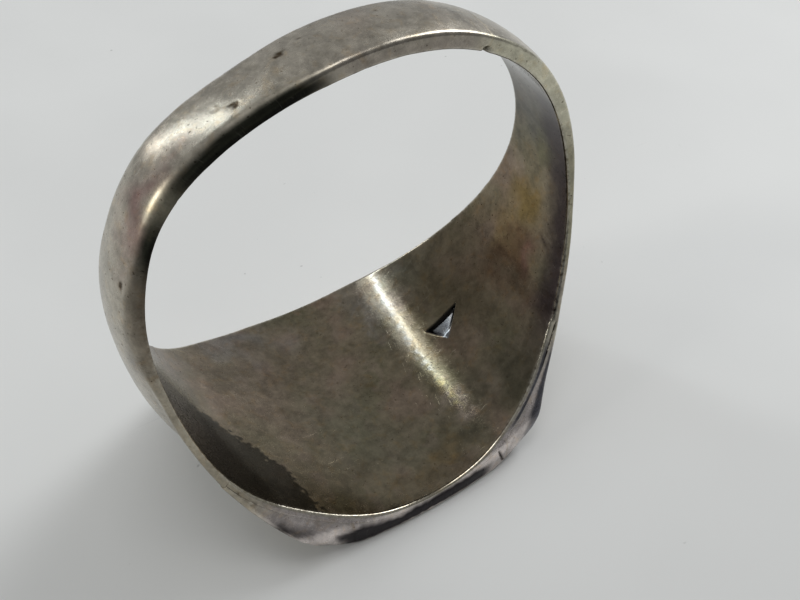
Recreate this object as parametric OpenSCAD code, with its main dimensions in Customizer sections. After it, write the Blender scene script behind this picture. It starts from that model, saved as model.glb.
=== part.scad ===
// Signet ring, fabricated box-head type: a tapered, domed shank is soldered to a
// shallow head frame, a flat signet plate closes the frame, and a thin sheet
// lines the inside of the head. Built in the pose the ring stands in: signet
// face down on -Z, finger axis along Y, origin at the centre of the finger hole.

/* [Finger] */
// Inside diameter of the ring
bore_d = 19; // [17:0.1:20]

/* [Shank] */
// Width of the shank at the back of the finger
shank_w = 2.8; // [2.4:0.1:3.2]
// Thickness of the shank on its crown
shank_t = 0.8; // [0.7:0.05:0.95]
// Radius of the dome across the shank
dome_r = 5.5; // [4.5:0.5:7]
// Radius of the long side curve from shank to head
flank_r = 28; // [26:0.5:30]
// Height above the finger axis where the taper starts
taper_z = 7; // [6:0.5:8]

/* [Head] */
// Length of the signet face, across the finger hole
face_l = 9.7; // [9.2:0.1:10.2]
// Width of the signet face, along the finger axis
face_w = 13.6; // [13:0.1:14.2]
// Metal between the finger hole and the signet face
head_t = 0.95; // [0.85:0.05:1.1]
// Outward bow at the middle of the face's long edges
edge_bow = 0.4; // [0.2:0.05:0.5]
// How far the corners of the face are worn back
corner_cut = 0.4; // [0.3:0.1:0.6]
// Angle from the head's middle where the flat shoulders run into the round band
shoulder_a = 70; // [67:1:76]
// Least thickness of the band along its two edges
edge_t = 0.35; // [0.3:0.05:0.45]

/* [Sheet and solder] */
// Thickness of the sheet that lines the head
lining_t = 0.25; // [0.2:0.05:0.3]
// Half angle that the lining covers, from the middle of the head
lining_a = 58; // [52:1:60]
// Thickness of the signet plate
plate_t = 0.35; // [0.3:0.05:0.4]
// Wall thickness of the head frame
frame_wall = 0.6; // [0.4:0.1:1]
// Half length of the head frame
frame_half = 4.1; // [3.6:0.1:4.3]
// Thickness of the solder seams
seam_t = 0.12; // [0.08:0.02:0.2]
// Angle of the sizing joint, from the middle of the head
sizing_a = 150; // [120:1:165]

/* [Hidden] */
$fn = 96;
bore_r = bore_d / 2;
crown_r = bore_r + shank_t;
face_z = -(bore_r + head_t);
lining_r = bore_r + lining_t;
plate_top = face_z + plate_t;
big = 60;

// The shoulder arcs start tangent to the band's circles at shoulder_a and end
// at the short edges of the face. For a band circle of radius r, spread is how
// far the arc's centre lies beyond the finger axis.
corner = [face_l / 2, face_z];
tangent_dir = [sin(shoulder_a), -cos(shoulder_a)];
function spread(r) = (corner * corner - r * r) / (2 * (r - corner * tangent_dir));
edge_r = bore_r + edge_t;
// Where one curve runs into the next, the wider one stands this much proud.
lip = 0.02;

// The side curve runs tangent into a small round that ends at the face's edge.
// It ends slightly wide of the face, so the bowed sides trim its foot upright.
flank_y = shank_w / 2 + flank_r;
drop = taper_z - face_z;
foot_y = face_w / 2 + 0.06;
round_gap = flank_y - foot_y;
round_r = (round_gap * round_gap + drop * drop - flank_r * flank_r)
    / (2 * (flank_r - round_gap));
round_y = foot_y - round_r;
tangent_z = face_z + round_r * drop / (flank_r + round_r);
bow_r = (face_l * face_l / 4 + edge_bow * edge_bow) / (2 * edge_bow);
corner_r = norm([face_l / 2, face_w / 2 - edge_bow]) - corner_cut;
corner_flare = 0.85;

silver = [0.66, 0.64, 0.60];
solder = [0.78, 0.75, 0.66];

module rod_y(r, len) {
    rotate([90, 0, 0]) cylinder(r = r, h = len, center = true);
}

module rod_x(r, len) {
    rotate([0, 90, 0]) cylinder(r = r, h = len, center = true);
}

module slab(z0, z1) {
    translate([-big / 2, -big / 2, z0]) cube([big, big, z1 - z0]);
}

// A ring about the Y axis whose outside is domed across its width.
module domed_ring(r) {
    rotate([90, 0, 0]) rotate_extrude()
        intersection() {
            translate([r - dome_r, 0]) circle(r = dome_r);
            translate([bore_r / 2, -4]) square([big, 8]);
        }
}

// Plan of the ring seen along X: straight at the back, then the long side
// curves, then the small rounds down to the face.
module side_outline() {
    difference() {
        slab(tangent_z, taper_z);
        for (s = [-1, 1]) translate([0, s * flank_y, taper_z]) rod_x(flank_r, big);
        for (s = [-1, 1]) translate([0, s * (flank_y + foot_y), 0])
            cube([big, 2 * flank_y, big], center = true);
    }
    translate([-big / 2, lip - shank_w / 2, taper_z])
        cube([big, shank_w - 2 * lip, bore_r]);
    intersection() {
        slab(face_z, tangent_z);
        union() {
            for (s = [-1, 1]) translate([0, s * (round_y + lip), face_z])
                rod_x(round_r, big);
            cube([big, 2 * round_y, big], center = true);
        }
    }
}

// Outer limit of one shoulder: the band's section carried along wider arcs.
module shoulder_limit() {
    crown_s = spread(crown_r + lip);
    edge_s = spread(edge_r + lip);
    translate(-crown_s * [tangent_dir[0], 0, tangent_dir[1]])
        domed_ring(crown_r + lip + crown_s);
    translate(-edge_s * [tangent_dir[0], 0, tangent_dir[1]])
        rod_y(edge_r + lip + edge_s, face_w);
}

// Limits of the head in plan: two bowed long sides, and a flared cone that
// takes the four corners back.
module head_plan() {
    difference() {
        intersection_for (s = [-1, 1]) translate([0, s * (face_w / 2 - bow_r), 0])
            cylinder(r = bow_r, h = big, center = true);
        rotate_extrude() polygon([
            [corner_r - corner_flare, face_z - 1], [big / 2, face_z - 1],
            [big / 2, face_z + 4], [corner_r + 4 * corner_flare, face_z + 4]]);
    }
}

// Everything on the head's side of a radial plane at angle a from the head's
// middle; gap moves the plane off the finger axis.
module before(a, gap = 0) {
    rotate([0, 180 - a, 0]) translate([gap, -big / 2, -big / 2]) cube(big);
}

module after(a, gap = 0) {
    rotate([0, 180 - a, 0]) translate([-big - gap, -big / 2, -big / 2]) cube(big);
}

// The finger hole, with the seat for the lining cut into the head.
module finger_hole() {
    rod_y(bore_r, face_w + 2);
    intersection() {
        rod_y(lining_r, face_w + 2);
        before(lining_a);
        mirror([1, 0, 0]) before(lining_a);
    }
}

// Right half of the band, from the head frame to the top.
module half_band() {
    difference() {
        intersection() {
            union() {
                intersection() {
                    union() {
                        domed_ring(crown_r);
                        rod_y(edge_r, face_w);
                    }
                    after(shoulder_a);
                }
                intersection() {
                    shoulder_limit();
                    before(shoulder_a);
                }
            }
            side_outline();
            head_plan();
            translate([0, -big / 2, plate_top]) cube(big);
        }
        finger_hole();
        translate([0, -big / 2, -big])
            cube([frame_half + seam_t / 2, big, big]);
    }
}

module signet_plate() {
    color(silver) intersection() {
        shoulder_limit();
        mirror([1, 0, 0]) shoulder_limit();
        side_outline();
        head_plan();
        slab(face_z, plate_top);
    }
}

module head_frame() {
    color(silver) difference() {
        intersection() {
            side_outline();
            head_plan();
            slab(plate_top, 0);
            cube([2 * frame_half - seam_t, face_w, big], center = true);
        }
        rod_y(lining_r, face_w + 2);
        cube([2 * (frame_half - frame_wall), face_w - 2.5 * frame_wall, big],
             center = true);
    }
}

module lining() {
    color(silver) difference() {
        intersection() {
            rod_y(lining_r, face_w);
            side_outline();
            head_plan();
            before(lining_a);
            mirror([1, 0, 0]) before(lining_a);
        }
        rod_y(bore_r, face_w + 2);
    }
}

module shank_left() {
    color(silver) union() {
        mirror([1, 0, 0]) half_band();
        intersection() {
            half_band();
            after(sizing_a, seam_t / 2);
        }
    }
}

module shank_right() {
    color(silver) intersection() {
        half_band();
        before(sizing_a, seam_t / 2);
    }
}

// Solder between the frame's end and the shoulder.
module head_seam() {
    color(solder) difference() {
        intersection() {
            side_outline();
            head_plan();
            slab(plate_top, 0);
            translate([frame_half, 0, 0]) cube([seam_t, face_w, big], center = true);
        }
        rod_y(lining_r, face_w + 2);
    }
}

module solder_head_left() {
    mirror([1, 0, 0]) head_seam();
}

module solder_head_right() {
    head_seam();
}

module solder_sizing() {
    color(solder) difference() {
        intersection() {
            half_band();
            before(sizing_a, -seam_t / 2);
        }
        before(sizing_a, seam_t / 2);
    }
}

signet_plate();
head_frame();
lining();
shank_left();
shank_right();
solder_head_left();
solder_head_right();
solder_sizing();
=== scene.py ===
# A worn silver signet ring standing on its signet face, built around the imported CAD
# frame. Shapes are worked out in millimetres and written to the meshes in metres.
import math

import bpy
import numpy as np
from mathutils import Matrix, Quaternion, Vector


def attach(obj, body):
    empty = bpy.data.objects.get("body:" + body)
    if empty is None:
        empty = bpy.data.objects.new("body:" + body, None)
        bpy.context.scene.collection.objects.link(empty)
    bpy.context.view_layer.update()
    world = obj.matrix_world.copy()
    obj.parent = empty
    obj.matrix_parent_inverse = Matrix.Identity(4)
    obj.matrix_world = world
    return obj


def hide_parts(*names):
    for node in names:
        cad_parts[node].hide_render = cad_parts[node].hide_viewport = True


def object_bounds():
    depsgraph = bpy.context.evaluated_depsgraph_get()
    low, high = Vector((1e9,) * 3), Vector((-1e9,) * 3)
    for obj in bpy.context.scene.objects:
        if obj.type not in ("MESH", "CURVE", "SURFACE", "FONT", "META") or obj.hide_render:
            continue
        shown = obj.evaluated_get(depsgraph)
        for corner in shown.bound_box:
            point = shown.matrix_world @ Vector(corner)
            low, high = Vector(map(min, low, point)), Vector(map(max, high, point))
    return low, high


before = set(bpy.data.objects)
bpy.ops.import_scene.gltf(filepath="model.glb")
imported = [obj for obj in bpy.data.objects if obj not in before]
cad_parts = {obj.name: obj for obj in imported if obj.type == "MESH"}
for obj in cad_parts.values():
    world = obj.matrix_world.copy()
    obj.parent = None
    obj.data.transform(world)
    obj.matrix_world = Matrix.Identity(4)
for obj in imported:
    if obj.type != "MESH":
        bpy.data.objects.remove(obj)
cad_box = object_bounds()

MM = 0.001
DEG = math.pi / 180
rng = np.random.default_rng(20)

# ---------------------------------------------------------------- the ring's own sizes, mm
BORE_R = 9.5
CROWN_R = 10.3          # crown of the band
EDGE_R = 9.85           # the band along its two edges
DOME_R = 5.5            # dome across the band
SHANK_HALF = 1.4        # half the band's width at the back of the finger
FLANK_R = 28.0          # long side curve from the back to the head
TAPER_Z = 7.0           # the side curve starts here
FACE_X = 4.85           # half the signet face's length
FACE_HALF = 6.8         # half its width, along the finger
FACE_Z = -10.45
PLATE_TOP = -10.1
LINING_R = 9.75
LINING_A = 58 * DEG     # the lining ends here, from the head's middle
SHOULDER_A = 70 * DEG   # the shoulders run into the round band here
FRAME_X = 4.04          # the head frame ends here, and the solder seam starts
SEAM_X = 4.16           # the solder seam ends here, and the shank starts
SIZING_A = 150 * DEG    # the sizing joint
SEAM_HALF_A = 0.06 / 9.9  # half the sizing seam's width, in radians
FOOT_HALF = FACE_HALF + 0.06
CORNER_FLARE = 0.85     # slope of the cone that takes the face's corners back
CORNER_CUT = 0.4
CORNER_TOP = FACE_Z + 4  # that cone touches nothing above this
EDGE_BOW = 0.4          # outward bow of the face's long edges

# Curves that follow from those sizes.
CORNER = np.array([FACE_X, FACE_Z])
TANGENT = np.array([math.sin(SHOULDER_A), -math.cos(SHOULDER_A)])


def spread(r):
    """How far beyond the finger axis a shoulder arc's centre lies, for a band circle of radius
    r, so that the arc ends at the face's short edge."""
    return (CORNER @ CORNER - r * r) / (2 * (r - CORNER @ TANGENT))


CROWN_SPREAD, EDGE_SPREAD = spread(CROWN_R), spread(EDGE_R)
FLANK_Y = SHANK_HALF + FLANK_R
DROP = TAPER_Z - FACE_Z
GAP = FLANK_Y - FOOT_HALF
ROUND_R = (GAP * GAP + DROP * DROP - FLANK_R ** 2) / (2 * (FLANK_R - GAP))
ROUND_Y = FOOT_HALF - ROUND_R
ROUND_TOP = FACE_Z + ROUND_R * DROP / (FLANK_R + ROUND_R)
BOW_R = (FACE_X ** 2 + EDGE_BOW ** 2) / (2 * EDGE_BOW)
CORNER_R = math.hypot(FACE_X, FACE_HALF - EDGE_BOW) - CORNER_CUT

# How softly one surface runs into the next.
BOW_BLEND, CORNER_BLEND, EDGE_BLEND, FACE_BLEND = 0.1, 0.35, 0.06, 0.3
FACE_A = 60 * DEG       # beyond this angle the signet face plays no part
WIDEST = 29.0           # largest y squared that the dome's circle is asked for

# Metal worn from the outside: degrees from the head's middle (plus is right), reach in degrees,
# depth. Two flats with a soft corner between them on the left, and the head's right shoulder.
WORN = [(-121, 13, 0.14), (-156, 13, 0.14), (42, 10, 0.17)]

# Where the worn hoop is pressed out of round: degrees from the head's middle going up by the
# right, reach in degrees, and how far the metal has moved out in mm (minus is in).
PRESSED = [(65, 24, -0.13), (127, 24, 0.25), (188, 24, -0.41),
           (233, 15, 0.25), (276, 15, -0.16), (308, 14, 0.21)]

# Pits in the outside of the band: degrees from the head's middle, y, radius, depth.
PITS = [(-166, 0.3, 0.12, 0.05), (-165, 0.24, 0.08, 0.035), (-153.2, -0.6, 0.1, 0.04),
        (-152.4, -0.5, 0.06, 0.03), (-149.8, -0.25, 0.12, 0.02), (-111, -1.0, 0.1, 0.03),
        (-171, 0.6, 0.06, 0.02), (-98, 0.4, 0.08, 0.03), (172, 0.5, 0.07, 0.02),
        (120, 0.6, 0.09, 0.04), (96, -0.7, 0.1, 0.04), (135, -0.4, 0.07, 0.03)]
PITS_FROM = 40 * DEG    # no pits nearer the head's middle than this
PIT_SHARE = 0.6         # how much of a pit's depth is cut into the mesh

# The punch mark inside the head: its three corners as arc length and y.
PUNCH = np.array([(4.55, 0.92), (6.75, 0.86), (5.2, -0.34)])
PUNCH_DEPTH = 0.2
PUNCH_RISE = 0.95       # its floor rises over this many mm from the first side
PUNCH_LOSS = 0.95       # share of its depth lost by then

# Hammered ripples in the surface: heights of the long, middling and short ones.
RIPPLES_OUT = (0.009, 0.004, 0.001)
RIPPLES_IN = (0.004, 0.0015, 0.0005)
WAVES = 28              # waves in each random height
STREAK_DEPTH = 0.03     # fine dents along rubbed edges
LIFT_IN, LIFT_OUT = 0.03, 0.05  # how far the lining's loose edge leaves its seat, two ways
NICK_X, NICK_Z, NICK_LEAN = 3.8, -9.8, 0.35
NICK_BESIDE = 4.1       # a fainter cut beside the file nick
NOTCH_ARC = SIZING_A * BORE_R


# ---------------------------------------------------------------- small helpers
def smooth_min(a, b, k):
    h = np.clip(1 - np.abs(a - b) / k, 0, 1)
    return np.minimum(a, b) - h * h * k / 4


def smooth_step(x, lo, hi):
    s = np.clip((x - lo) / (hi - lo), 0, 1)
    return s * s * (3 - 2 * s)


def window(x, up_from, up_to, down_from, down_to):
    """Rises from 0 to 1 and falls back to 0, smoothly."""
    return smooth_step(x, up_from, up_to) * (1 - smooth_step(x, down_from, down_to))


def groove(x, centre, half):
    return np.exp(-((x - centre) / half) ** 2)


def blob(a, b, ra, rb, arc, y):
    return np.exp(-((arc - a) / ra) ** 2 - ((y - b) / rb) ** 2)


def random_field(wavelength):
    """A smooth random height, about -1 to 1, with bumps of about that wavelength."""
    d = rng.normal(size=(WAVES, 3))
    d /= np.linalg.norm(d, axis=1)[:, None]
    k = d * (2 * math.pi / (wavelength * rng.uniform(0.7, 1.5, WAVES)))[:, None]
    phase = rng.uniform(0, 2 * math.pi, WAVES)
    return lambda v: np.cos(v @ k.T + phase).sum(1) / math.sqrt(WAVES)


ripple_long = random_field(4.5)
ripple = random_field(1.6)
ripple_short = random_field(0.55)
warp_a, warp_b = random_field(2.2), random_field(2.2)
blotch_big, blotch, blotch_fine = random_field(3.4), random_field(1.3), random_field(0.45)
streaks = random_field(0.8)


# ---------------------------------------------------------------- the ring's surfaces
def half_width(x, z):
    """Half of the ring's width along the finger axis, at a point seen along that axis."""
    below = np.minimum(z - TAPER_Z, 0)
    taper = FLANK_Y - np.sqrt(np.maximum(FLANK_R ** 2 - below ** 2, 0))
    foot = ROUND_Y + np.sqrt(np.maximum(ROUND_R ** 2 - (z - FACE_Z) ** 2, 0))
    w = np.where(z < ROUND_TOP, foot, taper)
    bow = FACE_HALF - BOW_R + np.sqrt(BOW_R ** 2 - x ** 2)
    w = smooth_min(w, bow, BOW_BLEND)
    cone_r = CORNER_R + CORNER_FLARE * (z - FACE_Z)
    cone = np.sqrt(np.maximum(cone_r ** 2 - x ** 2, 0.01))
    return np.where(z < CORNER_TOP, smooth_min(w, cone, CORNER_BLEND), w)


def to_circle(a, radius, shift):
    """Distance from the finger axis, at angle a, to a circle whose centre lies shift beyond it."""
    shift = np.where(a < SHOULDER_A, shift, 0)
    along = -shift * np.cos(a - SHOULDER_A)
    return along + np.sqrt(along ** 2 - shift ** 2 + (radius + shift) ** 2)


def worn_thin(t):
    """Metal lost from the outside, at t degrees."""
    return sum(depth * np.exp(-((t - place) / reach) ** 2) for place, reach, depth in WORN)


def outer_r(t, y):
    """Distance from the finger axis to the outside, at angle t from the head's middle."""
    a = np.abs(t)
    sag = DOME_R - np.sqrt(DOME_R ** 2 - np.minimum(y ** 2, WIDEST))
    crown = to_circle(a, CROWN_R - sag, CROWN_SPREAD)
    edge = to_circle(a, EDGE_R, EDGE_SPREAD)
    r = -smooth_min(-crown, -edge, EDGE_BLEND)
    r = r - worn_thin(t / DEG)
    face = -FACE_Z / np.cos(np.minimum(a, FACE_A))
    return np.where(a < FACE_A, smooth_min(r, face, FACE_BLEND), r)


def bend(v):
    """The worn hoop is a little out of round: it bends away from the circle behind the head."""
    t = np.arctan2(v[:, 0], -v[:, 2])
    r = np.hypot(v[:, 0], v[:, 2])
    turn = np.mod(t / DEG, 360)
    free = smooth_step(np.abs(t), 25 * DEG, 45 * DEG)
    for place, reach, out in PRESSED:
        r = r + free * out * np.exp(-((turn - place) / reach) ** 2)
    return np.stack([r * np.sin(t), v[:, 1], -r * np.cos(t)], -1)


# ---------------------------------------------------------------- sections swept round the ring
RUBBED_REACH = 0.16     # how far bright wear reaches from an edge
ROUND_STEPS = 5         # rows of vertices in each rounded edge


def point(t, r, y):
    return np.stack(np.broadcast_arrays(r * np.sin(t), y, -r * np.cos(t)), -1)


class Band:
    """A piece as sections across the ring. Each section runs from an inner point at angle t_in
    to the outside at angle t_out, and its four edges are rounded."""

    def __init__(self, t_in, r_in, t_out, n_in, n_out, n_side, round_in, round_out, wear,
                 cap=None):
        self.rows, self.inside, self.edge, self.wall_face, self.across = [], [], [], [], []
        r_in = np.broadcast_to(r_in, t_in.shape).astype(float)
        w_in = half_width(r_in * np.sin(t_in), -r_in * np.cos(t_in))

        def out_r(y):
            r = outer_r(t_out, y)
            return r if cap is None else np.minimum(r, cap)

        # the outside's width and its distance from the axis depend on each other
        w_out = w_in
        for _ in range(6):
            r = out_r(w_out)
            w_out = half_width(r * np.sin(t_out), -r * np.cos(t_out))
        a, b = point(t_in, r_in, 0.0), point(t_out, out_r(w_out), 0.0)
        wall = np.linalg.norm(b - a, axis=1)

        # how far each rounding reaches along the surfaces, and along the wall as a share of it
        in_y = np.minimum(round_in, 0.45 * wall)
        out_y = np.minimum(round_out[0], 1.2 * wall)
        out_q = np.minimum(round_out[1] / np.maximum(wall, 1e-6), 0.8)
        in_q = np.minimum(round_in / np.maximum(wall, 1e-6), 0.45 * (1 - out_q))

        def inner(y):
            return point(t_in, r_in, y)

        def outer(y):
            return point(t_out, out_r(y), y)

        def side(q, s):
            p = a + (b - a) * q[:, None]
            p[:, 1] = s * half_width(p[:, 0], p[:, 2])
            return p

        def add(p, inside, edge, face, across):
            self.rows.append(p)
            for store, value in ((self.inside, inside), (self.edge, edge),
                                 (self.wall_face, face), (self.across, across)):
                store.append(np.broadcast_to(value, t_in.shape).astype(float))

        def turn(p, k, q, inside_from, inside_to, value, across):
            """A rounded edge from p to q, whose sharp corner would be k."""
            for u in np.linspace(0, 1, ROUND_STEPS + 2)[1:-1]:
                add((1 - u) ** 2 * p + 2 * u * (1 - u) * k + u * u * q,
                    inside_from + (inside_to - inside_from) * u, value, 1, across)

        def near(distance, weight):
            return weight * np.exp(-(distance / RUBBED_REACH) ** 2)

        def wall_rows(s):
            steps = np.linspace(0, 1, n_side)
            for u in steps if s == 1 else steps[::-1]:
                q = in_q + (1 - out_q - in_q) * u
                rubbed = np.maximum(near(q * wall, wear[0]), near((1 - q) * wall, wear[1]))
                add(side(q, s), 0, rubbed, 1, q)

        # inside, far edge and wall, outside, near edge and wall
        for u in np.linspace(-1, 1, n_in):
            y = u * (w_in - in_y)
            add(inner(y), 1, near(w_in - np.abs(y), wear[0]), 0, 0)
        turn(inner(w_in - in_y), inner(w_in), side(in_q, 1), 1, 0, wear[0], 0)
        wall_rows(1)
        turn(side(1 - out_q, 1), outer(w_out), outer(w_out - out_y), 0, 0, wear[1], 1)
        for u in np.linspace(1, -1, n_out):
            y = u * (w_out - out_y)
            add(outer(y), 0, near(w_out - np.abs(y), wear[1]), 0, 1)
        turn(outer(-(w_out - out_y)), outer(-w_out), side(1 - out_q, -1), 0, 0, wear[1], 1)
        wall_rows(-1)
        turn(side(in_q, -1), inner(-w_in), inner(-(w_in - in_y)), 0, 1, wear[0], 0)

        self.join()
        self.t = np.arctan2(self.v[:, 0], -self.v[:, 2])
        self.arc = BORE_R * self.t
        self.y = self.v[:, 1].copy()
        self.r = np.hypot(self.v[:, 0], self.v[:, 2])

    def join(self):
        """Joins the rows into one closed surface, with a fan of triangles over each end."""
        rows = np.stack(self.rows, 1)
        n, m = rows.shape[:2]
        grid = np.arange(n * m).reshape(n, m)
        nxt = np.roll(grid, -1, axis=1)
        quads = np.stack([grid[:-1], nxt[:-1], nxt[1:], grid[1:]], -1).reshape(-1, 4)
        self.v = rows.reshape(-1, 3)
        self.faces = [tuple(q) for q in quads.tolist()]
        for row, flip in ((0, False), (n - 1, True)):
            centre = len(self.v)
            self.v = np.vstack([self.v, rows[row].mean(0)])
            for i in range(m):
                tri = (int(grid[row, i]), centre, int(nxt[row, i]))
                self.faces.append(tri[::-1] if flip else tri)

        def flat(stack):
            return np.r_[np.stack(stack, 1).reshape(-1), 0, 0]

        self.inside, self.edge = flat(self.inside), flat(self.edge)
        self.wall_face, self.across = flat(self.wall_face), flat(self.across)
        self.black = np.zeros(len(self.v))
        p = self.v[np.array([f[:3] for f in self.faces])]
        if np.einsum("ij,ij->i", p[:, 0], np.cross(p[:, 1], p[:, 2])).sum() < 0:
            self.faces = [f[::-1] for f in self.faces]

    def normals(self):
        quads = np.array([f for f in self.faces if len(f) == 4])
        p = self.v[quads]
        fn = np.cross(p[:, 2] - p[:, 0], p[:, 3] - p[:, 1])
        vn = np.zeros_like(self.v)
        for i in range(4):
            np.add.at(vn, quads[:, i], fn)
        return vn / np.maximum(np.linalg.norm(vn, axis=1), 1e-12)[:, None]


# ---------------------------------------------------------------- wear in the shapes
def pit_field(arc, y):
    depth = np.zeros_like(arc)
    for t, py, radius, deep in PITS:
        d2 = (arc - BORE_R * t * DEG) ** 2 + (y - py) ** 2
        depth = np.maximum(depth, deep * np.exp(-d2 / radius ** 2))
    return depth


def punch_field(arc, y):
    """The triangular punch mark: its depth, steep along its first side and rising to its third
    corner, then how far a point lies inside its nearest side, and inside its first side."""
    p = np.stack([arc, y], -1)
    sides = []
    for i in range(3):
        a, b = PUNCH[i], PUNCH[(i + 1) % 3]
        n = np.array([b[1] - a[1], a[0] - b[0]]) / np.linalg.norm(b - a)
        if (PUNCH[(i + 2) % 3] - a) @ n < 0:
            n = -n
        sides.append((p - a) @ n)
    inside, first = np.minimum.reduce(sides), sides[0]
    floor = 1 - PUNCH_LOSS * np.clip(first / PUNCH_RISE, 0, 1)
    return PUNCH_DEPTH * smooth_step(inside, -0.01, 0.11) * floor, inside, first


def lift_field(arc, y, r):
    """How far the near edge of the lining has sprung off its seat, on the right of the head."""
    w = half_width(r * np.sin(arc / BORE_R), -r * np.cos(arc / BORE_R))
    return window(arc, 7.0, 8.3, 9.4, 9.62) * smooth_step(-y, w - 0.6, w)


def nick_field(x, z, half):
    """The file nick at the right head seam: a leaning cut of that half width."""
    return groove(x + NICK_LEAN * (z - NICK_Z), NICK_X, half)


def nick_height(z):
    """Where on the wall's height the nick runs."""
    return window(-z, 9.1, 9.35, 10.0, 10.2)


def notch_field(band, half, edge_from, r_from):
    """The notch at the sizing seam, in the near edge by the finger hole."""
    notch = groove(band.arc, NOTCH_ARC, half) * smooth_step(-band.y, edge_from, 1.3)
    return notch * (1 - smooth_step(band.r, r_from, 9.8))


def streak_arc(y):
    """Where the bright line inside the head runs: it bends away towards the far rim."""
    u = np.maximum(y + 3.6, 0)
    return 3.5 + 0.0011 * u ** 3


def shape(band, lining):
    """Moves the surface in and out: hammered ripples, pits, nicks, punch mark, lifted edge."""
    n = band.normals()
    v = band.v
    calm = 0.45 + 0.55 * smooth_step(v[:, 2], -8.0, -4.0)
    heights = [ripple_long(v), ripple(v), ripple_short(v)]
    soft = sum(h * f for h, f in zip(RIPPLES_OUT, heights))
    inner = sum(h * f for h, f in zip(RIPPLES_IN, heights))
    amount = np.where(band.inside > 0.5, inner, soft) * calm
    out = (band.inside < 0.5) & (np.abs(band.t) > PITS_FROM)
    amount -= np.where(out, PIT_SHARE * pit_field(band.arc, band.y), 0)
    amount -= STREAK_DEPTH * np.clip(streaks(v) - 1.1, 0, 1) * band.edge * calm
    if lining:
        amount -= np.where(band.inside > 0.5, punch_field(band.arc, band.y)[0], 0)
    band.v = v + n * amount[:, None]
    if lining:
        lift = lift_field(band.arc, band.y, band.r)
        radial = np.stack([np.sin(band.t), 0 * band.t, -np.cos(band.t)], -1)
        band.v -= radial * (LIFT_IN * lift)[:, None]
        band.v[:, 1] += LIFT_OUT * lift
    # the file nick at the right head seam, and the notch at the sizing seam
    x, z = v[:, 0], v[:, 2]
    near_wall = (band.v[:, 1] < 0) & (band.wall_face > 0.5)
    nick = 0.12 * nick_field(x, z, 0.055) + 0.03 * groove(x, NICK_BESIDE, 0.05)
    band.v[:, 1] += np.where(near_wall, nick * nick_height(z), 0)
    band.v[:, 1] += np.where(band.arc > 20, 0.2 * notch_field(band, 0.13, 0.9, 9.6), 0)
    band.v[:, 2] = np.maximum(band.v[:, 2], FACE_Z)


# ---------------------------------------------------------------- stains, tarnish, painted shade and painted highlights as colours
# Stains inside the ring, in the order they are laid: place along the arc and along y, how far
# they reach both ways, linear colour, strength. The first list lies on the head, the second on
# the right of the hoop.
HEAD_STAINS = [
    (-5.0, 2.5, 3.5, 2.4, (0.240, 0.190, 0.150), 0.6),
    (-4.2, 5.2, 2.4, 0.9, (0.235, 0.220, 0.200), 0.85),
    (-2.0, -1.2, 2.2, 2.0, (0.205, 0.195, 0.140), 0.6),
    (6.8, 1.8, 3.2, 4.2, (0.098, 0.080, 0.050), 0.88),
    (5.4, 4.6, 1.5, 1.2, (0.190, 0.185, 0.150), 0.7),
    (3.2, 4.2, 0.8, 2.4, (0.300, 0.275, 0.245), 0.6),
    (6.5, -4.2, 1.9, 1.6, (0.085, 0.076, 0.052), 0.92),
    (3.4, -3.6, 1.3, 0.5, (0.285, 0.235, 0.195), 0.75),
    (2.8, -5.0, 1.8, 0.75, (0.115, 0.105, 0.072), 0.85),
    (-1.0, -3.8, 2.4, 1.6, (0.190, 0.178, 0.128), 0.6),
    (0.4, -5.9, 1.6, 0.4, (0.150, 0.120, 0.075), 0.7),
    (1.6, -5.0, 0.7, 0.35, (0.220, 0.160, 0.080), 0.5),
]
HOOP_STAINS = [
    (10.6, -0.2, 1.9, 2.4, (0.11, 0.067, 0.040), 0.95),
    (13.4, 0.3, 1.6, 0.95, (0.200, 0.140, 0.055), 0.95),
    (11.8, 1.0, 0.8, 0.6, (0.230, 0.170, 0.090), 0.6),
    (10.9, -1.2, 0.8, 0.4, (0.190, 0.105, 0.085), 0.6),
]
STAINED_PIT = 0.02      # a pit this deep is fully stained
# Painted shade: metal that faces inwards beyond this radius is painted near black, so it reads as
# shadow where it shows behind the lining.
LINING_SEAT_R = 9.65    # metal that faces inwards beyond this lies dark behind the lining


def stain(rgb, mask, colour, strength=1.0):
    m = np.clip(mask * strength, 0, 1)[:, None]
    return rgb * (1 - m) + np.array(colour) * m


def colours(band, lining, solder):
    """What the metal reflects at each point: silver under uneven tarnish, with painted shade,
    painted highlights and a painted dark reflection, as linear colour.
    """
    v = band.v
    wa = band.arc + 0.55 * warp_a(v) + 0.2 * blotch_fine(v)
    wy = band.y + 0.55 * warp_b(v) + 0.2 * blotch(v)
    tone = blotch_big(v), blotch(v), blotch_fine(v)
    out = band_colours(band, wa, wy, *tone)
    out = wall_colours(band, out, *tone)
    ins = inside_colours(band, wa, wy, *tone)
    if not lining:
        # painted shade in the gap behind the lining
        ins = stain(ins, band.r > LINING_SEAT_R, (0.02, 0.017, 0.015))
    rgb = out * (1 - band.inside[:, None]) + ins * band.inside[:, None]
    if lining:
        cut = (1 - band.inside) * band.wall_face * (1 - smooth_step(band.r, 9.53, 9.6))
        rgb = stain(rgb, cut, (0.60, 0.56, 0.40), 0.9)
    if solder:
        rgb = rgb * np.array([0.95, 0.93, 0.88])
    x, z = v[:, 0], v[:, 2]
    nick = nick_field(x, z, 0.07) * nick_height(z) * band.wall_face * (band.y < 0)
    rgb = stain(rgb, nick, (0.06, 0.05, 0.045), 0.85)
    return stain(rgb, notch_field(band, 0.17, 1.0, 9.62), (0.03, 0.027, 0.022), 0.95)


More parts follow.
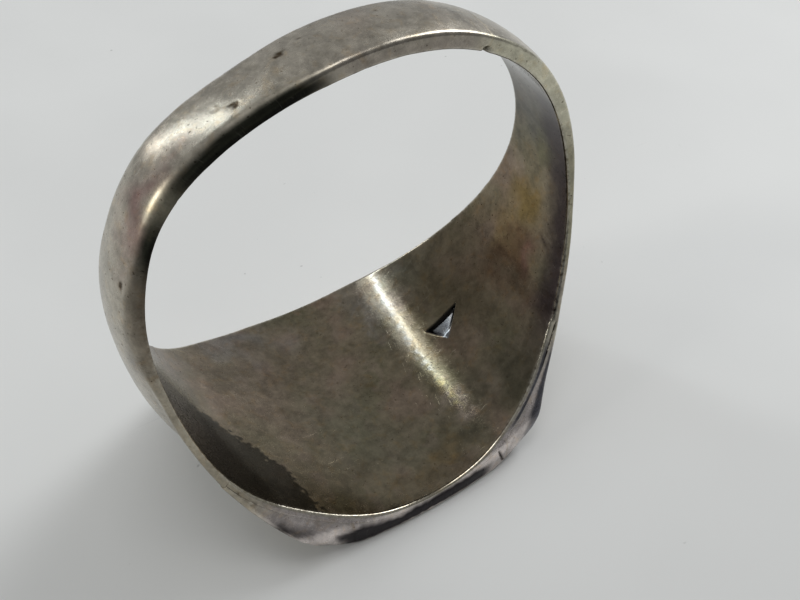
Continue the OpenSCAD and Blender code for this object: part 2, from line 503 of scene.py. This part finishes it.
def band_colours(band, wa, wy, big, mid, fine):
    """The outside of the band and its near edge."""
    arc, y, z, across = band.arc, band.y, band.v[:, 2], band.across
    near_wall = (y < 0) * band.wall_face
    out = np.tile(np.array([0.435, 0.40, 0.335]), (len(arc), 1))
    out = stain(out, smooth_step(mid + 0.5 * fine, 0.3, 1.6), (0.34, 0.31, 0.25), 0.6)
    out = stain(out, smooth_step(big, 0.2, 1.5), (0.41, 0.35, 0.29), 0.5)
    out = stain(out, blob(-21.3, -0.7, 1.5, 0.6, wa, wy), (0.30, 0.19, 0.17), 0.85)
    pits = pit_field(arc + 0.09 * fine, y + 0.07 * mid)
    out = stain(out, pits / STAINED_PIT, (0.07, 0.05, 0.028), 0.92)
    out = stain(out, smooth_step(-z, 10.15, 10.4), (0.54, 0.51, 0.45), 0.6)

    # the near side of the hoop: black by the finger hole, fading outwards
    reach = (band.r - BORE_R) + 1.3 * np.maximum(SHANK_HALF - np.abs(y), 0)
    thick = 0.35 + 0.3 * smooth_step(-arc, 19, 22.5)
    near_hole_dark = 1 - smooth_step(reach + 0.05 * mid, thick - 0.3, thick + 0.75)
    near_hole_dark = (y < 0) * near_hole_dark * (1 - band.inside)
    black = np.clip(near_hole_dark * window(-arc, 14.5, 21.0, 26.8, 29.2) * 1.15, 0, 1)
    out = stain(out, black, (0.026, 0.027, 0.020))
    deep = black * band.wall_face * (1 - smooth_step(across, 0.55, 1.0))
    out = stain(out, deep, (0.011, 0.011, 0.009))
    band.edge = band.edge * (1 - black)
    band.black = black
    # painted highlight: a pale spot that brightens the second highlight
    out = stain(out, blob(-21.6, -1.12, 0.75, 0.24, arc, y), (0.74, 0.68, 0.52), 0.85)
    out = stain(out, near_hole_dark * window(-arc, 13.0, 16.0, 18.0, 20.0), (0.16, 0.13, 0.095), 0.85)
    top = smooth_step(arc, 23.5, 25) + smooth_step(-arc, 28.0, 29.5)
    out = stain(out, near_hole_dark * top, (0.25, 0.22, 0.19), 0.8)

    # the right of the hoop: a thin dark line low down, painted shade on the wall lower on the
    # hoop, and painted light on the paler wall higher up
    thin = near_wall * (1 - smooth_step(across, 0.15, 0.4))
    out = stain(out, thin * window(arc, 8.4, 9.6, 17, 21), (0.07, 0.065, 0.05), 0.9)
    right_wall = near_wall * window(arc, 11, 13, 24, 26)
    high = smooth_step(arc, 17, 19.5)
    out = stain(out, right_wall * (1 - high), (0.27, 0.255, 0.17), 0.75)
    return stain(out, right_wall * high, (0.62, 0.60, 0.46), 0.7)


def wall_colours(band, out, big, mid, fine):
    """The near and far walls of the head, over the band's own colours."""
    x, z = band.v[:, 0], band.v[:, 2]
    arc, y, across = band.arc, band.y, band.across
    w = half_width(band.r * np.sin(band.t), -band.r * np.cos(band.t))
    near_wall = band.wall_face * (y < 0)
    wall = band.wall_face * smooth_step(-z, 5.5, 7.5)
    out = stain(out, wall, (0.72, 0.655, 0.635), 0.88)

    # a black strip low on the walls, broken up on the far side
    start = 9.2 + 0.32 * smooth_step(x, -3.9, -1.9)
    low = smooth_step(-z + 0.08 * mid + 0.03 * fine - start, -0.22, 0.26)
    low = low * (1 - smooth_step(-z + 0.03 * fine, 10.24, 10.38))
    length = smooth_step(x + 0.4 * mid + 0.1 * fine, -5.0, -3.9)
    length = length * (1 - 0.75 * smooth_step(x + 0.2 * mid, 2.4, 3.2))
    length = length * (1 - smooth_step(x, 4.0, 4.8))
    patch = low * length * (np.abs(y) > 5)
    patch = patch * np.where(y < 0, 1, 0.5 * smooth_step(mid + 0.6 * fine, -1.0, 0.9))
    out = stain(out, patch, (0.016, 0.012, 0.015), 1.08)
    band.edge = band.edge * (1 - patch)
    band.black = np.maximum(band.black, 0.5 * patch)

    # a dark patch at the left corner and a dark bluish patch on the right shoulder; painted shade
    # in the gap behind the lifted edge of the lining
    corner_dark = blob(-6.7, 10.4, 0.7, 0.24, arc + 0.2 * mid, band.r + 0.04 * fine) * near_wall
    out = stain(out, corner_dark, (0.05, 0.042, 0.042), 0.98)
    shoulder = smooth_step(arc + 0.2 * mid, 4.3, 5.1) * (1 - smooth_step(arc, 8.0, 9.0))
    outer_half = smooth_step(across + 0.06 * mid, 0.28, 0.52)
    near_edge = smooth_step(-y - w + 0.15 * mid, -0.75, -0.1)
    out = stain(out, shoulder * outer_half * near_edge, (0.075, 0.08, 0.10), 0.93)
    olive = window(-arc, 7.0, 8.5, 13.0, 16.0)
    out = stain(out, olive * near_wall, (0.33, 0.29, 0.215), 0.7)
    # painted shade: a black line where the gap behind the lining's lifted edge lies in shadow
    gap = near_wall * (1 - smooth_step(band.r, 9.57, 9.67))
    return stain(out, gap * window(arc, 9.2, 9.6, 10.3, 11.0), (0.015, 0.012, 0.012), 0.97)


def inside_colours(band, wa, wy, big, mid, fine):
    """The inside of the ring: brown and grey tarnish, the punch mark and the bright line, with
    painted shade, painted highlights and a painted dark reflection.
    """
    arc, y = band.arc, band.y
    w = half_width(band.r * np.sin(band.t), -band.r * np.cos(band.t))

    def lay(ins, stains):
        for a, b, ra, rb, colour, strength in stains:
            ins = stain(ins, blob(a, b, ra, rb, wa, wy), colour, strength)
        return ins

    ins = np.tile(np.array([0.220, 0.184, 0.128]), (len(arc), 1))
    ins = stain(ins, smooth_step(big + 0.3 * mid, 0.0, 1.1), (0.168, 0.152, 0.098), 0.85)
    ins = stain(ins, smooth_step(0.35 * mid - big, 0.2, 1.3), (0.262, 0.190, 0.148), 0.6)
    ins = stain(ins, smooth_step(mid + 0.4 * fine, 0.3, 1.5), (0.262, 0.208, 0.160), 0.5)
    ins = stain(ins, smooth_step(0.5 * fine - mid, 0.6, 1.6), (0.150, 0.130, 0.088), 0.6)
    ins = lay(ins, HEAD_STAINS)

    # painted dark reflection: the dark crescent on the left of the head, where the opposite wall
    # is reflected
    crescent = -arc - 5.3 - 0.105 * (y + 5.4) ** 2 + 0.12 * mid
    crescent = crescent + 0.16 * blotch_fine(band.v * 1.6)
    crescent = smooth_step(crescent, 0.0, 0.13) * (1 - smooth_step(y, -0.4, 2.6))
    ins = stain(ins, crescent, (0.045, 0.040, 0.030), 0.92)

    # the right of the hoop, and a greyer stretch above it
    ins = lay(ins, HOOP_STAINS)
    ins = stain(ins, smooth_step(arc + 0.5 * mid, 14.8, 18.5), (0.090, 0.088, 0.076), 0.88)
    ins = stain(ins, blob(16.8, -0.4, 1.2, 0.5, wa, wy), (0.120, 0.115, 0.060), 0.7)
    ins = stain(ins, blob(-9.3, 3.5, 1.7, 1.6, wa, wy), (0.225, 0.210, 0.180), 0.55)
    rim = smooth_step(-y - w + 0.12 * mid + 0.05 * fine, -2.0, -0.5)
    ins = stain(ins, rim * window(arc, 6.5, 10.5, 19, 21.5), (0.040, 0.030, 0.031), 0.95)

    # painted highlight, partly polished scratch wear: paler metal under the bright line, grey at
    # its far end, yellow at its near end
    line = groove(arc - streak_arc(y) + 0.05 * fine, 0, 0.2) * smooth_step(y, -4.3, -3.4)
    line = line * smooth_step(1.2 * fine + mid, -1.6, 0.6)
    far = smooth_step(y, -2.6, -0.8)
    ins = stain(ins, line * far, (0.38, 0.40, 0.41), 0.3)
    ins = stain(ins, line * (1 - far), (0.42, 0.37, 0.16), 0.45)

    # the punch mark: dark, with a paler third corner, a painted highlight partly from rubbed
    # metal, and a black first side, painted shade partly from tarnish in the crease
    _, dent, first = punch_field(arc, y)
    dent = smooth_step(dent, -0.03, 0.05)
    ins = stain(ins, dent, (0.058, 0.061, 0.067), 0.95)
    ins = stain(ins, dent * smooth_step(first, 0.6, 1.0), (0.20, 0.21, 0.22), 0.9)
    ins = stain(ins, dent * (1 - smooth_step(first, 0.04, 0.26)), (0.012, 0.011, 0.010), 0.97)
    scratch = groove(y + 1.6 - 1.6 * (arc - 12.35), 0, 0.12) * groove(arc, 12.35, 0.2)
    return stain(ins, scratch, (0.03, 0.022, 0.02), 0.9)


# ---------------------------------------------------------------- materials
class Nodes:
    """Short ways to add shader nodes to one material."""

    def __init__(self, name):
        self.material = bpy.data.materials.new(name)
        self.material.use_nodes = True
        self.tree = self.material.node_tree
        self.shader = self.tree.nodes["Principled BSDF"]

    def add(self, kind, inputs=None, **settings):
        node = self.tree.nodes.new(kind)
        for key, value in settings.items():
            setattr(node, key, value)
        for key, value in (inputs or {}).items():
            self.set(node.inputs[key], value)
        return node

    def set(self, socket, value):
        if isinstance(value, bpy.types.NodeSocket):
            self.tree.links.new(value, socket)
        else:
            socket.default_value = value

    def math(self, operation, a, b=0.0, clamp=False):
        node = self.add("ShaderNodeMath", {0: a, 1: b}, operation=operation, use_clamp=clamp)
        return node.outputs[0]

    def vector(self, operation, a, b, output=0):
        node = self.add("ShaderNodeVectorMath", {0: a, 1: b}, operation=operation)
        return node.outputs[output]

    def scale(self, colour, factor):
        inputs = {0: colour, "Scale": factor}
        return self.add("ShaderNodeVectorMath", inputs, operation="SCALE").outputs[0]

    def turn(self, place, angle):
        inputs = {"Vector": place, "Angle": angle}
        return self.add("ShaderNodeVectorRotate", inputs, rotation_type="Z_AXIS").outputs[0]

    def mm(self, stretch=(1, 1, 1)):
        """The object's own coordinates, in millimetres."""
        place = self.add("ShaderNodeTexCoord").outputs["Object"]
        return self.vector("MULTIPLY", place, tuple(s / MM for s in stretch))

    def attribute(self, name, output="Fac"):
        return self.add("ShaderNodeAttribute", attribute_name=name).outputs[output]

    def noise(self, place, scale, detail, roughness, distortion=0.0):
        return self.add("ShaderNodeTexNoise", {
            "Vector": place, "Scale": scale, "Detail": detail, "Roughness": roughness,
            "Distortion": distortion}).outputs["Fac"]

    def ramp(self, value, low, high, to_low=0.0, to_high=1.0):
        return self.add("ShaderNodeMapRange", {
            "Value": value, "From Min": low, "From Max": high, "To Min": to_low,
            "To Max": to_high}, interpolation_type="SMOOTHSTEP").outputs["Result"]

    def mix(self, factor, a, b, blend="MIX"):
        node = self.add("ShaderNodeMix", data_type="RGBA", blend_type=blend)
        self.set(node.inputs["Factor"], factor)
        colour = [s for s in node.inputs if s.type == "RGBA"]
        self.set(colour[0], a)
        self.set(colour[1], b)
        return [s for s in node.outputs if s.type == "RGBA"][0]

    def bump(self, height, strength, distance, normal=None):
        inputs = {"Height": height, "Strength": strength, "Distance": distance}
        node = self.add("ShaderNodeBump", inputs)
        if normal is not None:
            self.set(node.inputs["Normal"], normal)
        return node.outputs["Normal"]


WARM_TINT = (1.12, 0.93, 0.68, 1)
SPECK_TINT = (0.32, 0.28, 0.24, 1)
BARE_SILVER = (0.74, 0.70, 0.60, 1)
BARE_SOLDER = (0.62, 0.57, 0.44, 1)
LEAST_ROUGH = 0.06


def metal(name, rough_out, rough_in, polish=BARE_SILVER):
    """Tarnished metal, with one roughness outside the ring and one inside it."""
    m = Nodes(name)
    place = m.mm()
    tint = m.attribute("tint", "Color")
    inside = m.attribute("inside")
    edge = m.attribute("edge")
    dull = m.attribute("dull")
    ring = m.attribute("ring", "Vector")

    cloud = m.noise(place, 1.1, detail=5, roughness=0.65, distortion=0.4)
    mottle = m.noise(place, 3.2, detail=5, roughness=0.7, distortion=0.2)
    grain = m.noise(place, 13.0, detail=3, roughness=0.7)
    speck = m.noise(place, 7.0, detail=2, roughness=0.5)

    # tarnish lies unevenly over the whole piece
    shade = m.math("ADD", m.ramp(cloud, 0.3, 0.7, 0.80, 1.16),
                   m.ramp(mottle, 0.3, 0.7, -0.13, 0.13))
    shade = m.math("ADD", shade, m.ramp(grain, 0.3, 0.7, -0.07, 0.07))
    tone = m.scale(tint, shade)
    warm_noise = m.noise(place, 2.1, detail=4, roughness=0.6, distortion=0.5)
    warm = m.ramp(warm_noise, 0.5, 0.72, 0.0, 0.4)
    tone = m.mix(warm, tone, m.mix(1.0, tone, WARM_TINT, "MULTIPLY"))
    black = m.ramp(speck, 0.66, 0.74, 0.0, 0.75)
    tone = m.mix(black, tone, m.mix(1.0, tone, SPECK_TINT, "MULTIPLY"))

    # handling has rubbed the edges back to bright metal, in broken patches
    broken = m.ramp(m.noise(place, 4.5, detail=4, roughness=0.7), 0.36, 0.6)
    rubbed = m.math("MULTIPLY", m.math("MULTIPLY", edge, edge), broken)
    rubbed = m.math("MULTIPLY", rubbed, 0.62, clamp=True)
    tone = m.mix(rubbed, tone, polish)

    # scratches: fine lines across the band, along it, and finer ones still
    def lines(stretch, turn, low, high):
        stretched = m.vector("MULTIPLY", m.turn(ring, turn), stretch)
        return m.ramp(m.noise(stretched, 1.0, detail=3, roughness=0.55), low, high)

    across = lines((16.0, 1.1, 1.0), 0.25, 0.64, 0.74)
    along = lines((0.9, 15.0, 1.0), -0.15, 0.65, 0.75)
    fine = lines((34.0, 2.6, 1.0), -0.5, 0.55, 0.75)
    scratch = m.math("ADD", m.math("ADD", across, along), m.math("MULTIPLY", fine, 0.35),
                     clamp=True)
    tone = m.mix(m.math("MULTIPLY", scratch, 0.05), tone, polish)
    m.set(m.shader.inputs["Base Color"], tone)

    rough = m.math("ADD", m.ramp(inside, 0.0, 1.0, rough_out, rough_in),
                   m.ramp(mottle, 0.3, 0.7, -0.015, 0.02))
    rough = m.math("ADD", rough, m.math("MULTIPLY", black, 0.3))
    rough = m.math("ADD", rough, m.math("MULTIPLY", dull, 0.16))
    rough = m.math("SUBTRACT", rough, m.math("MULTIPLY", rubbed, 0.08))
    m.set(m.shader.inputs["Roughness"], m.math("MAXIMUM", rough, LEAST_ROUGH))
    m.shader.inputs["Metallic"].default_value = 1.0

    # fine relief, fainter outside the ring than inside it
    dents = m.noise(place, 2.6, detail=3, roughness=0.5)
    normal = m.bump(scratch, m.ramp(inside, 0.0, 1.0, 0.06, 0.3), 0.003 * MM)
    normal = m.bump(grain, m.ramp(inside, 0.0, 1.0, 0.04, 0.5), 0.0015 * MM, normal)
    normal = m.bump(dents, m.ramp(inside, 0.0, 1.0, 0.1, 0.3), 0.006 * MM, normal)
    m.set(m.shader.inputs["Normal"], normal)
    return m.material


silver = metal("worn_silver", 0.26, 0.10)
lining_metal = metal("tarnished_lining", 0.24, 0.10)
solder_metal = metal("dull_solder", 0.32, 0.2, polish=BARE_SOLDER)


# ---------------------------------------------------------------- the pieces
SHARP_A = 42 * DEG      # faces that meet at more than this stay sharp
LINING_SECTIONS = 70    # sections of a half band that lie over the lining
SECTION_STEP = 0.5 * DEG
SEAM_IN = math.asin(SEAM_X / LINING_R)
SEAM_OUT = math.atan2(SEAM_X, -PLATE_TOP)
PLATE_END = math.atan2(5.3, -PLATE_TOP)
TIGHT = 0.006           # rounding of an edge that meets another piece
# rows of vertices across the band, and how far its inner and outer edges are rubbed
BAND_DETAIL = {"n_in": 56, "n_out": 56, "n_side": 8, "wear": (0.8, 0.4)}


def make(name, band, material, node, lining=False, solder=False):
    """Turns a band into a worn, stained object that stands for its CAD node."""
    shape(band, lining)
    rgb = colours(band, lining, solder)
    v = bend(band.v) * MM
    mesh = bpy.data.meshes.new(name)
    mesh.from_pydata(v.tolist(), [], band.faces)
    mesh.polygons.foreach_set("use_smooth", [True] * len(mesh.polygons))
    mesh.set_sharp_from_angle(angle=SHARP_A)
    tint = mesh.attributes.new("tint", "FLOAT_COLOR", "POINT")
    rgba = np.c_[rgb, np.ones(len(rgb))]
    tint.data.foreach_set("color", rgba.astype(np.float32).ravel())
    dull = np.maximum(band.inside * smooth_step(-band.arc, 1.5, 6.0), 1.6 * band.black)
    for key, value in (("inside", band.inside), ("edge", band.edge), ("dull", dull)):
        layer = mesh.attributes.new(key, "FLOAT", "POINT")
        layer.data.foreach_set("value", value.astype(np.float32))
    ring = mesh.attributes.new("ring", "FLOAT_VECTOR", "POINT")
    places = np.c_[band.arc, band.y, band.r]
    ring.data.foreach_set("vector", places.astype(np.float32).ravel())
    mesh.materials.append(material)
    mesh.validate()
    piece = bpy.data.objects.new(name, mesh)
    bpy.context.scene.collection.objects.link(piece)
    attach(piece, "root")
    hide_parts(node)


def outer_rounding(t, bare=1.0):
    """Along the face and along the wall: the left of the hoop is worn rounder than the rest."""
    soft = window(-t, 35 * DEG, 60 * DEG, 152 * DEG, 172 * DEG)
    return TIGHT + bare * (0.154 + 0.26 * soft), TIGHT + bare * (0.13 + 0.20 * soft)


def half_band(end, side):
    """One half of the band, from the head seam to end; side is 1 on the right, -1 on the left."""
    count = int((end - LINING_A - 0.004) / SECTION_STEP) + 2
    t = np.r_[np.linspace(SEAM_IN, LINING_A, LINING_SECTIONS), LINING_A,
              np.linspace(LINING_A + 0.004, end, count)]
    r = np.where(np.arange(len(t)) < LINING_SECTIONS, LINING_R, BORE_R)
    lean = 1 - smooth_step(t, SEAM_IN, 34 * DEG)
    t_out = t - (SEAM_IN - SEAM_OUT) * lean
    cap = np.where(t_out < PLATE_END, -PLATE_TOP / np.cos(t_out), 1e3)
    bare = smooth_step(t_out, PLATE_END, PLATE_END + 9 * DEG)
    round_in = TIGHT + 0.114 * smooth_step(t, LINING_A - 2 * DEG, LINING_A + 6 * DEG)
    rows = side * t, r, side * t_out, cap, round_in, *outer_rounding(side * t, bare)
    t, r, t_out, cap, round_in, along_face, along_wall = (row[::side] for row in rows)
    return Band(t, r, t_out, cap=cap, round_in=round_in, round_out=(along_face, along_wall),
                **BAND_DETAIL)


def under_lining(x, n_across):
    """A block between the lining and the plate, with its sections at those places along x."""
    t_out = np.arctan2(x, -PLATE_TOP)
    return Band(np.arcsin(x / LINING_R), LINING_R, t_out, cap=-PLATE_TOP / np.cos(t_out),
                n_in=n_across, n_out=n_across, n_side=10, round_in=TIGHT,
                round_out=(TIGHT, TIGHT), wear=(0.3, 0.2))


right = half_band(SIZING_A - SEAM_HALF_A, 1)
left = half_band(360 * DEG - SIZING_A - SEAM_HALF_A, -1)
t = np.linspace(SIZING_A - SEAM_HALF_A, SIZING_A + SEAM_HALF_A, 5)
sizing = Band(t, BORE_R, t, n_in=24, n_out=24, n_side=8, round_in=0.12,
              round_out=outer_rounding(t), wear=(0.8, 0.4))
t = np.linspace(-LINING_A, LINING_A, 330)
lining = Band(t, BORE_R, t, cap=LINING_R, n_in=210, n_out=30, n_side=4, round_in=0.09,
              round_out=(TIGHT, TIGHT), wear=(1, 0))
frame_block = under_lining(np.linspace(-FRAME_X, FRAME_X, 170), 12)
t = np.linspace(-PLATE_END, PLATE_END, 190)
plate = Band(t, -PLATE_TOP / np.cos(t), t, n_in=12, n_out=90, n_side=5, round_in=TIGHT,
             round_out=(0.3, 0.08), wear=(0.1, 0.9))
seam = np.linspace(FRAME_X, SEAM_X, 5)
left_seam = under_lining(-seam[::-1], 8)
right_seam = under_lining(seam, 8)

make("silver_shank_left", left, silver, "shank_left")
make("silver_shank_right", right, silver, "shank_right")
make("solder_line_sizing", sizing, solder_metal, "solder_sizing", solder=True)
make("lining_sheet", lining, lining_metal, "lining", lining=True)
make("frame_body", frame_block, silver, "head_frame")
make("signet_face_plate", plate, silver, "signet_plate")
make("solder_line_left", left_seam, solder_metal, "solder_head_left", solder=True)
make("solder_line_right", right_seam, solder_metal, "solder_head_right", solder=True)

# ---------------------------------------------------------------- table, lights and camera
TABLE_HALF = 1.5        # metres
TABLE_COLOUR = (0.755, 0.763, 0.755)
TOWARDS_BACK = (0.484, 0.875, 0)
LIGHT_DISTANCE = 0.3    # metres
FLOOR_Z = cad_box[0].z

table = Nodes("pale_table")
place = table.mm()
tone = table.ramp(table.noise(place, 0.05, detail=3, roughness=0.5), 0.3, 0.7, 0.97, 1.02)
dots = table.ramp(table.noise(place, 1.6, detail=2, roughness=0.4), 0.785, 0.82, 0.0, 0.3)
tone = table.math("SUBTRACT", tone, dots)
# the light falls off a little towards the front
away = table.vector("DOT_PRODUCT", place, TOWARDS_BACK, "Value")
tone = table.math("MULTIPLY", tone, table.ramp(away, -24.0, 12.0, 0.84, 0.99))
drawn_out = table.turn(table.mm((0.09, 2.2, 1.0)), 0.3)
scuffs = table.noise(drawn_out, 1.0, detail=3, roughness=0.6, distortion=0.3)
tone = table.math("SUBTRACT", tone, table.ramp(scuffs, 0.72, 0.78, 0.0, 0.06))
table.set(table.shader.inputs["Base Color"], table.scale(TABLE_COLOUR, tone))
table.shader.inputs["Roughness"].default_value = 0.55
table.shader.inputs["Specular IOR Level"].default_value = 0.3
table_grain = table.noise(place, 1.2, detail=4, roughness=0.6)
table.set(table.shader.inputs["Normal"], table.bump(table_grain, 0.2, 0.02 * MM))
mesh = bpy.data.meshes.new("table")
mesh.from_pydata([(x * TABLE_HALF, y * TABLE_HALF, FLOOR_Z)
                  for x, y in ((-1, -1), (1, -1), (1, 1), (-1, 1))], [], [(0, 1, 2, 3)])
mesh.materials.append(table.material)
floor = bpy.data.objects.new("table", mesh)
bpy.context.scene.collection.objects.link(floor)

# the room is brighter behind the ring than in front of it
world = bpy.data.worlds.new("studio")
bpy.context.scene.world = world
world.use_nodes = True
studio = world.node_tree
backdrop = studio.nodes["Background"]
backdrop.inputs["Color"].default_value = (0.98, 0.99, 1.0, 1)
direction = studio.nodes.new("ShaderNodeTexCoord")
split = studio.nodes.new("ShaderNodeSeparateXYZ")
ramp = studio.nodes.new("ShaderNodeMapRange")
studio.links.new(direction.outputs["Generated"], split.inputs[0])
studio.links.new(split.outputs["Y"], ramp.inputs["Value"])
for key, value in (("From Min", -1.0), ("From Max", 0.9), ("To Min", 0.17), ("To Max", 0.46)):
    ramp.inputs[key].default_value = value
studio.links.new(ramp.outputs["Result"], backdrop.inputs["Strength"])


def area_light(name, direction, width, height, radiance, colour):
    """A soft rectangular light in that direction; width and height are angles in degrees."""
    d = Vector(direction).normalized()
    w = 2 * LIGHT_DISTANCE * math.tan(width * DEG / 2)
    h = 2 * LIGHT_DISTANCE * math.tan(height * DEG / 2)
    data = bpy.data.lights.new(name, "AREA")
    data.shape = "RECTANGLE"
    data.size, data.size_y = w, h
    data.energy = radiance * math.pi * w * h
    data.color = colour
    light = bpy.data.objects.new(name, data)
    light.location = d * LIGHT_DISTANCE
    light.rotation_euler = d.to_track_quat("Z", "Y").to_euler()
    bpy.context.scene.collection.objects.link(light)


area_light("strip_window", (-0.345, 0.703, 0.622), 1.8, 36, 7.0, (0.88, 0.96, 1.0))
area_light("strip_glow", (-0.335, 0.710, 0.620), 10, 34, 1.2, (0.90, 0.97, 1.0))
area_light("low_window", (-0.44, 0.84, 0.29), 8, 10, 4.2, (1.0, 1.0, 0.98))
area_light("side_window", (0.76, 0.19, 0.62), 20, 38, 5.7, (0.98, 0.99, 1.0))
area_light("left_lamp", (-0.90, 0.15, 0.39), 12, 13, 9.0, (1.0, 0.98, 0.92))
area_light("ceiling", (0.0, 0.0, 1.0), 26, 22, 3.2, (1.0, 0.99, 0.97))

# the camera goes round the ring's axes from its open near side, and rolls a little
AZIMUTH, ELEVATION, ROLL = -28.95 * DEG, 42.54 * DEG, -1.04 * DEG
CAMERA_DISTANCE = 35.84 * MM
AIM = Vector((0.78, -2.25, -1.42)) * MM
camera_data = bpy.data.cameras.new("camera")
camera_data.sensor_width = 36.0
camera_data.lens = 38.96
camera_data.clip_start, camera_data.clip_end = 0.001, 10
camera = bpy.data.objects.new("camera", camera_data)
camera.location = CAMERA_DISTANCE * Vector((
    math.sin(AZIMUTH) * math.cos(ELEVATION),
    -math.cos(AZIMUTH) * math.cos(ELEVATION),
    math.sin(ELEVATION)))
forward = (AIM - camera.location).normalized()
camera.rotation_mode = "QUATERNION"
camera.rotation_quaternion = Quaternion(forward, ROLL) @ forward.to_track_quat("-Z", "Y")
bpy.context.scene.collection.objects.link(camera)
bpy.context.scene.camera = camera
bpy.context.scene.view_settings.view_transform = "Standard"
bpy.context.scene.view_settings.look = "None"
